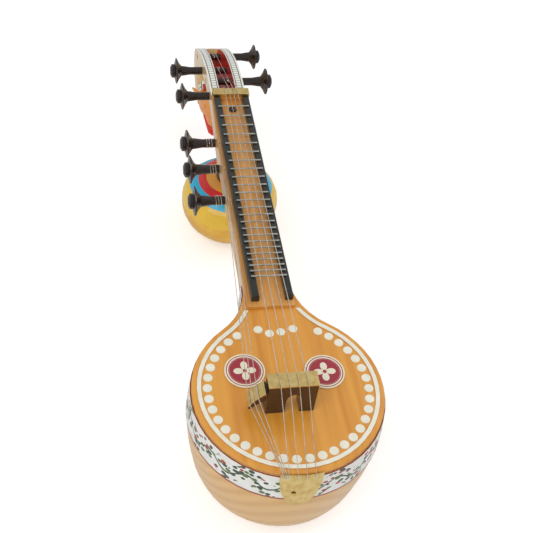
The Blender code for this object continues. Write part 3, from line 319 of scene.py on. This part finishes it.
def pegbox_pattern():
    """Tan sides, white cheek tops with green lines and ticks, and a red trough."""
    finish = wood("pegbox_painted", (0.86, 0.62, 0.32), (0.72, 0.46, 0.20))
    tan = finish.plain()
    x, y, _ = finish.axes(finish.place)
    geometry = finish.nodes.new("ShaderNodeNewGeometry")
    steep = finish.axes(geometry.outputs["Normal"])[2]
    facing_up = finish.math("GREATER_THAN", steep, 0.6)
    side = finish.math("ABSOLUTE", x)
    lines = finish.ramp(finish.math("DIVIDE", side, CHEEK_HALF_WIDTH),
                        ((0.0, CHEEK_WHITE), (0.52, LINE_GREEN), (0.57, CHEEK_WHITE),
                         (0.83, LINE_GREEN), (0.88, CHEEK_WHITE)), True)
    along = finish.math("FRACT", finish.math("DIVIDE", y, TICK_SPACING))
    ticks = finish.math("LESS_THAN", along, TICK_SHARE)
    between = finish.math("MULTIPLY", finish.math("GREATER_THAN", side, TICK_INNER),
                          finish.math("LESS_THAN", side, TICK_OUTER))
    ladder = finish.mix(finish.math("MULTIPLY", ticks, between), lines, LINE_GREEN)
    inside = finish.math("MULTIPLY", finish.math("LESS_THAN", side, TROUGH_HALF_WIDTH),
                         finish.math("LESS_THAN", y, TROUGH_END))
    inside = finish.math("MULTIPLY", inside, finish.math("GREATER_THAN", steep, -0.2))
    top = finish.math("SUBTRACT", facing_up, finish.math("MULTIPLY", facing_up, inside))
    finish.colour(finish.mix(inside, finish.mix(top, tan, ladder), TROUGH_RED))
    return finish


def dragon_paint():
    """Red below and orange above, over scales."""
    finish = Finish("dragon_enamel", 0.3, 0.0, 0.4)
    _, _, z = finish.axes(finish.place)
    height = finish.math("DIVIDE", finish.math("SUBTRACT", z, DRAGON_LOW), DRAGON_HEIGHT)
    finish.colour(finish.ramp(height, ((0.25, (0.80, 0.04, 0.02)), (0.5, (0.86, 0.27, 0.06)),
                                       (0.9, (0.92, 0.42, 0.12)))))
    finish.bump(finish.cells(finish.place, DRAGON_SCALES)["Distance"], 0.5, 0.0006)
    return finish


def middle_of(name):
    low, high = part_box(name)
    return [(a + b) / 2 for a, b in zip(low, high)]


def dress(ivory):
    """Gives each piece of the frame its finish."""
    brass = metal("polished_brass", (0.80, 0.62, 0.26), (0.66, 0.46, 0.16))
    rosewood = wood("dark_rosewood", (0.055, 0.022, 0.015), (0.02, 0.008, 0.006), (500, 60, 500), 0.22)
    finishes = {
        "bowl": turned_wood("bowl_wood_turned", (0.82, 0.50, 0.19), (0.74, 0.42, 0.14)),
        "soundboard": wood("soundboard_lacquer", (0.84, 0.38, 0.05), (0.70, 0.27, 0.025), (190, 9, 190)),
        "edge_inlay": ivory,
        "rosette_left": rosette_pattern("rosette_ivory_left", middle_of("rosette_left")),
        "rosette_right": rosette_pattern("rosette_ivory_right", middle_of("rosette_right")),
        "side_band": band_pattern(),
        "neck": wood("neck_tan", (0.84, 0.56, 0.26), (0.70, 0.40, 0.14)),
        "fretboard": wood("fretboard_lacquer", (0.82, 0.40, 0.10), (0.64, 0.27, 0.05)),
        "pegbox": pegbox_pattern(),
        "yali_head": dragon_paint(),
        "gourd": gourd_pattern(),
        "gourd_cup": rosewood,
        "bridge": rosewood,
        "tala_bridge": rosewood,
        # near-black colour of the neck screw: painted shade of its place under the first frets
        "neck_screw": metal("screw_steel_painted_shade", (0.10, 0.09, 0.08), (0.04, 0.03, 0.03), 0.4),
    }
    for name in ("bridge_plate", "tala_plate", "tailpiece", "tail_nail", "nut"):
        finishes[name] = brass
    repeated = {
        "fret_": metal("fret_wire_bright", (0.66, 0.66, 0.60), (0.50, 0.49, 0.42), 0.25),
        "rail_": enamel("black_wax", (0.016, 0.020, 0.015), (0.008, 0.009, 0.008), 0.32, 400),
        "peg_": wood("peg_rosewood", (0.022, 0.010, 0.008), (0.007, 0.004, 0.003),
                     (60, 500, 500), 0.25, 0.15),
        "string_": metal("string_wire", (0.78, 0.76, 0.70), (0.60, 0.56, 0.48), 0.22),
    }
    for name, node in frame["nodes"].items():
        finish = finishes.get(name)
        if finish is None:
            finish = next(value for start, value in repeated.items() if name.startswith(start))
        node.data.materials.clear()
        node.data.materials.append(finish.material)


def add_mesh(name, bm, finish):
    mesh = bpy.data.meshes.new(name)
    bm.to_mesh(mesh)
    bm.free()
    mesh.materials.append(finish.material)
    piece = bpy.data.objects.new(name, mesh)
    bpy.context.scene.collection.objects.link(piece)
    return piece


def make_dots(finish):
    """Ivory dots: a ring inside the white inlay, and a garland under the strings."""
    places = list(GARLAND)
    step = DOT_SPACING / DOT_CIRCLE
    for i in range(DOT_COUNT):
        angle = -math.pi / 2 + (i - (DOT_COUNT - 1) / 2) * step
        places.append((DOT_CIRCLE * math.cos(angle), DOT_CIRCLE * math.sin(angle)))
    bm = bmesh.new()
    for x, y in places:
        made = bmesh.ops.create_cone(bm, cap_ends=True, segments=DOT_SIDES, radius1=DOT_RADIUS,
                                     radius2=DOT_RADIUS * DOT_CHAMFER, depth=DOT_HEIGHT)
        bmesh.ops.translate(bm, verts=made["verts"], vec=(x, y + BOWL_Y, BOARD_TOP + DOT_HEIGHT / 2))
    dots = add_mesh("soundboard_dots", bm, finish)
    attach(dots, "root")


# Floor and light
def make_floor():
    bm = bmesh.new()
    bmesh.ops.create_grid(bm, x_segments=1, y_segments=1, size=6.0)
    finish = Finish("studio_white", 0.9)
    finish.shader.inputs["Base Color"].default_value = (0.9, 0.9, 0.9, 1.0)
    finish.shader.inputs["Emission Color"].default_value = (*WHITE, 1.0)
    path = finish.nodes.new("ShaderNodeLightPath")
    glow = finish.math("MULTIPLY", path.outputs["Is Camera Ray"], 0.42)
    finish.link(glow, finish.shader.inputs["Emission Strength"])
    add_mesh("studio_floor", bm, finish)


def make_light():
    world = bpy.data.worlds.new("studio_world")
    world.use_nodes = True
    sky = world.node_tree.nodes["Background"]
    sky.inputs["Color"].default_value = (*WHITE, 1.0)
    sky.inputs["Strength"].default_value = 0.6
    bpy.context.scene.world = world
    for name, place, size, power in (("key_light", (-0.6, -0.7, 1.2), 0.7, 5.2),
                                     ("fill_light", (0.9, 0.3, 1.0), 0.9, 2.2)):
        data = bpy.data.lights.new(name, "AREA")
        data.size = size
        data.energy = power
        lamp = bpy.data.objects.new(name, data)
        lamp.location = place
        lamp.rotation_euler = (-Vector(place)).to_track_quat("-Z", "Y").to_euler()
        bpy.context.scene.collection.objects.link(lamp)
    bpy.context.scene.view_settings.view_transform = "Standard"


make_camera()
ivory_inlay = enamel("ivory_inlay", IVORY, (0.88, 0.85, 0.70), 0.35)
dress(ivory_inlay)
make_dots(ivory_inlay)
make_floor()
make_light()
